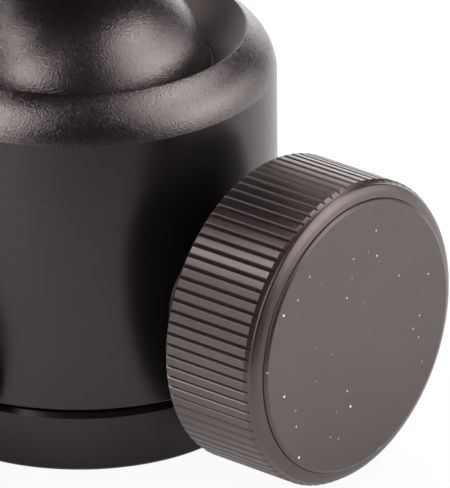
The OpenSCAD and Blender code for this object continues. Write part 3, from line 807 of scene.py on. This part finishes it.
slot_finish = {
    "anodised_black": satin, "anodised_grey": knob_finish, "bare_aluminium": bare_aluminium,
    "steel": steel, "dark_steel": dark_steel, "brass": brass, "white_plastic": white_plastic,
    "black_plastic": black_plastic, "clear_plastic": clear, "level_fluid": fluid,
}


def dress(piece, *materials):
    """Gives a piece these materials and takes its old ones off."""
    piece.data.materials.clear()
    for material in materials:
        piece.data.materials.append(material)


def housing_zone(centre):
    """Which finish a face of the housing takes: 0 on the side, 1 on the shoulder and 2 in the funnel."""
    inside_rim = math.hypot(centre.x, centre.y) < (RIM_R - RIM_ROUNDING) * MM
    if centre.z > LIP_Z * MM and inside_rim:
        return 2
    return int(centre.z > SHOULDER_Z * MM)


for part in frame["record"]["subparts"]:
    dress(nodes[part["node"]], slot_finish[part["material_slot"]])
dress(nodes["level_bubble"], bubble)
for piece in (base, boss, pan_boss, stem, clamp, jaw):
    dress(piece, satin)
dress(ball, ball_finish_painted_fill)
dress(housing, satin, blasted, funnel_finish_and_painted_light)
for face in housing.data.polygons:
    face.material_index = housing_zone(face.center)
for piece, disc, body in [(knob, cap, "main_knob")] + small_knobs:
    dress(piece, knob_finish, rib_finish)
    dress(disc, disc_finish)


# ---- Camera ----

CAMERA_AZIMUTH = 40.456
CAMERA_ELEVATION = 24.457
CAMERA_ROLL = -0.483
CAMERA_CLIP = (0.05, 50)
TARGET_MM = (15.544, 13.256, 23.724)
DISTANCE_MM = 1605.307
LENS_MM = 830.9
SENSOR_MM = 36


def view_direction(azimuth, elevation):
    """From the object to where the view comes from. Azimuth 0 is at -Y, and 90 at +X."""
    a, e = math.radians(azimuth), math.radians(elevation)
    return Vector((math.sin(a) * math.cos(e), -math.cos(a) * math.cos(e), math.sin(e)))


to_camera = view_direction(CAMERA_AZIMUTH, CAMERA_ELEVATION)


def camera_turn():
    """The camera's rotation: it looks along its own line of sight, with a slight roll."""
    level = view_direction(CAMERA_AZIMUTH + 90, 0)
    upright = to_camera.cross(level)
    roll = math.radians(CAMERA_ROLL)
    right = level * math.cos(roll) + upright * math.sin(roll)
    up = upright * math.cos(roll) - level * math.sin(roll)
    return Matrix((right, up, to_camera)).transposed().to_4x4()


camera = new_object("camera", bpy.data.cameras.new("camera"))
camera_spot = (Vector(TARGET_MM) + to_camera * DISTANCE_MM) * MM
camera.matrix_world = Matrix.Translation(camera_spot) @ camera_turn()
camera.data.lens = LENS_MM
camera.data.sensor_width = SENSOR_MM
camera.data.clip_start, camera.data.clip_end = CAMERA_CLIP
bpy.context.scene.camera = camera
bpy.context.scene.view_settings.view_transform = "Standard"


# ---- Floor ----

FLOOR_HALF = 6
FLOOR_PALE = opaque(0.8, 0.8, 0.8)
# The floor's painted shade, towards the camera's side.
FLOOR_PAINTED_SHADE = opaque(0.1, 0.1, 0.1)
FLOOR_ROUGHNESS = 0.7

# The camera sees the floor as this share of plain white and for the rest as it is lit.
CAMERA_SHARE = 0.93

# Ahead is this many degrees to the right of the line to the camera. Distances ahead of the object, in
# metres: where the painted shade starts and is full, and where the painted glow starts to fade and is gone.
FLOOR_TURN = 20
PAINTED_SHADE_SPAN = (0.09, 0.18)
PAINTED_GLOW_ENDS = (0.035, 0.085)
# How much painted glow the reflections see on the floor near the object.
TABLE_PAINTED_GLOW = 0.36


def floor_material():
    """A pale table top. The camera sees it nearly white. Towards the camera's side its colour is painted
    dark, as painted shade for the unlit room beyond a small table, and near the object it glows slightly
    in reflections, as painted light."""
    s = Shader("floor_white")
    ahead = s.dot(s.coords, view_direction(CAMERA_AZIMUTH + FLOOR_TURN, 0))
    s.set(Base_Color=s.mix(s.ramp(ahead, *PAINTED_SHADE_SPAN, 0, 1), FLOOR_PALE, FLOOR_PAINTED_SHADE),
          Roughness=FLOOR_ROUGHNESS)
    path = s.node("LightPath")
    mirrored = s.maths("MAXIMUM", path.outputs["Is Glossy Ray"], path.outputs["Is Transmission Ray"])
    seen = s.maths("ADD", s.maths("MULTIPLY", path.outputs["Is Camera Ray"], CAMERA_SHARE),
                   s.maths("MULTIPLY", mirrored, s.ramp(ahead, *PAINTED_GLOW_ENDS, TABLE_PAINTED_GLOW, 0)))
    glow = s.node("Emission", Color=opaque(1, 1, 1), Strength=1.0)
    blend = s.node("MixShader", Fac=seen)
    s.put(blend.inputs[1], s.bsdf.outputs["BSDF"])
    s.put(blend.inputs[2], glow.outputs["Emission"])
    s.put(s.tree.nodes["Material Output"].inputs["Surface"], blend.outputs["Shader"])
    return s.material


floor_corners = [(x * FLOOR_HALF, y * FLOOR_HALF, 0) for x, y in ((-1, -1), (1, -1), (1, 1), (-1, 1))]
floor_mesh = bpy.data.meshes.new("floor")
floor_mesh.from_pydata(floor_corners, [], [(0, 1, 2, 3)])
floor = new_object("floor", floor_mesh)
dress(floor, floor_material())


# ---- Lamps ----

LAMP_COLOUR = (1, 0.965, 0.96)
LAMP_DISTANCE = 0.7
LAMP_AIM = (0, 0, 0.03)
LAMP_FADE = 0.5
WORLD_LIGHT = 0.02


def fade_edges(light, share):
    """Lets a lamp fade out towards its edge, over that share of its half width. The lamp's own
    coordinates run from 0 to 1 across it, so its middle is at 0.5."""
    light.use_nodes = True
    tree = light.node_tree
    place_on = tree.nodes.new("ShaderNodeTexCoord")
    centred = tree.nodes.new("ShaderNodeVectorMath")
    centred.operation = "SUBTRACT"
    centred.inputs[1].default_value = (0.5, 0.5, 0)
    length = tree.nodes.new("ShaderNodeVectorMath")
    length.operation = "LENGTH"
    fade = tree.nodes.new("ShaderNodeMapRange")
    fade.interpolation_type = "SMOOTHSTEP"
    for socket, value in (("From Min", 0.5 * (1 - share)), ("From Max", 0.5), ("To Min", 1), ("To Max", 0)):
        fade.inputs[socket].default_value = value
    glow = next(node for node in tree.nodes if node.type == "EMISSION")
    tree.links.new(place_on.outputs["UV"], centred.inputs[0])
    tree.links.new(centred.outputs["Vector"], length.inputs[0])
    tree.links.new(length.outputs["Value"], fade.inputs["Value"])
    tree.links.new(fade.outputs["Result"], glow.inputs["Strength"])


def softbox(name, azimuth, elevation, width, height, radiance):
    """A soft lamp that faces the object. The radiance is what its middle shows, 1 being white."""
    light = bpy.data.lights.new(name, "AREA")
    light.shape = "RECTANGLE"
    light.size, light.size_y = width, height
    light.energy = radiance * math.pi * width * height
    light.color = LAMP_COLOUR
    fade_edges(light, LAMP_FADE)
    lamp = new_object(name, light)
    towards = view_direction(azimuth, elevation)
    lamp.location = Vector(LAMP_AIM) + towards * LAMP_DISTANCE
    lamp.rotation_mode = "QUATERNION"
    lamp.rotation_quaternion = towards.to_track_quat("Z", "Y")
    lamp.visible_camera = False


for name, beside_camera, elevation, width, height, radiance in (
        ("left_strip", -50, 27, 0.5, 1.15, 5.4),
        ("left_softbox", -95, 12, 1.2, 0.46, 0.8),
        ("right_softbox", 69, 31, 0.76, 1.25, 3.8),
        ("right_low_softbox", 94, 13, 1.0, 0.44, 2.8),
        ("right_rear_softbox", 105, 55, 0.55, 0.5, 4.6),
        ("left_high_softbox", -100, 54, 0.85, 0.65, 6.4),
        ("rear_high_softbox", -160, 56, 1.0, 0.5, 4.0),
        ("rear_softbox", 182, 6.5, 1.35, 0.62, 2.6)):
    softbox(name, CAMERA_AZIMUTH + beside_camera, elevation, width, height, radiance)

world = bpy.data.worlds.new("studio")
bpy.context.scene.world = world
world.use_nodes = True
world.node_tree.nodes["Background"].inputs["Color"].default_value = opaque(1, 1, 1)
world.node_tree.nodes["Background"].inputs["Strength"].default_value = WORLD_LIGHT
